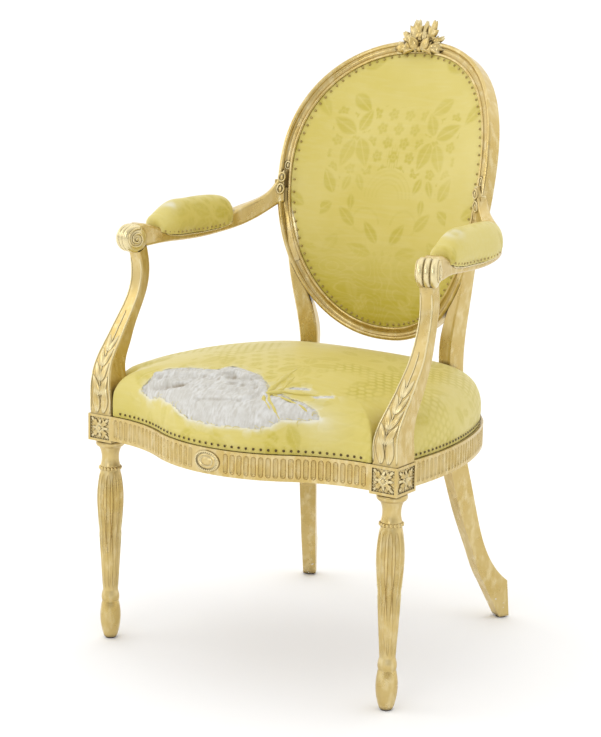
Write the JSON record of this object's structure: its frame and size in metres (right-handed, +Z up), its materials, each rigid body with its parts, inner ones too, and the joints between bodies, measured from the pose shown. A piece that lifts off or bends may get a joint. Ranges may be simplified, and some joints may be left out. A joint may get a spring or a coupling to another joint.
{
  "type": "oval-backed open armchair",
  "caption": "Carved gilt-wood open armchair with an oval dished back, scrolled arms, fluted turned front legs, sabre rear legs and a tacked damask seat, back and arm pads.",
  "frame": {"origin": "on the floor under the middle of the chair's outer box", "axes": "+Z up, front towards -Y, +X to the viewer's right when facing the chair's front"},
  "size_m": [0.5712, 0.5951, 0.966],
  "materials": {
    "gilt_wood": "water-gilded carved beech, satin and rubbed",
    "bare_wood": "unfinished beech",
    "damask": "silk damask, soft sheen",
    "wadding": "hair stuffing under white wadding",
    "webbing": "woven linen and jute",
    "tack_iron": "dark iron",
    "glide_iron": "dark iron"
  },
  "bodies": {
    "root": {"arm_left": "gilt_wood", "arm_pad_cover_left": "damask", "arm_pad_cover_right": "damask", "arm_pad_stuffing_left": "wadding", "arm_pad_stuffing_right": "wadding", "arm_pad_tacks": "tack_iron", "arm_right": "gilt_wood", "arm_support_left": "gilt_wood", "arm_support_right": "gilt_wood", "back_cover": "damask", "back_rail": "bare_wood", "back_stuffing": "wadding", "back_tacks": "tack_iron", "back_webbing": "webbing", "corner_braces": "bare_wood", "corner_rosettes": "gilt_wood", "crest_carving": "gilt_wood", "crest_rail": "gilt_wood", "foot_glides": "glide_iron", "front_leg_left": "gilt_wood", "front_leg_right": "gilt_wood", "front_rail": "gilt_wood", "husk_carvings": "gilt_wood", "lower_back_rail": "gilt_wood", "outside_back_cover": "damask", "rail_patera": "gilt_wood", "rear_leg_left": "gilt_wood", "rear_leg_right": "gilt_wood", "seat_base_cloth": "webbing", "seat_cover": "damask", "seat_stuffing": "wadding", "seat_tacks": "tack_iron", "seat_webbing_cross": "webbing", "seat_webbing_long": "webbing", "side_rail_left": "gilt_wood", "side_rail_right": "gilt_wood"}
  },
  "joints": []
}
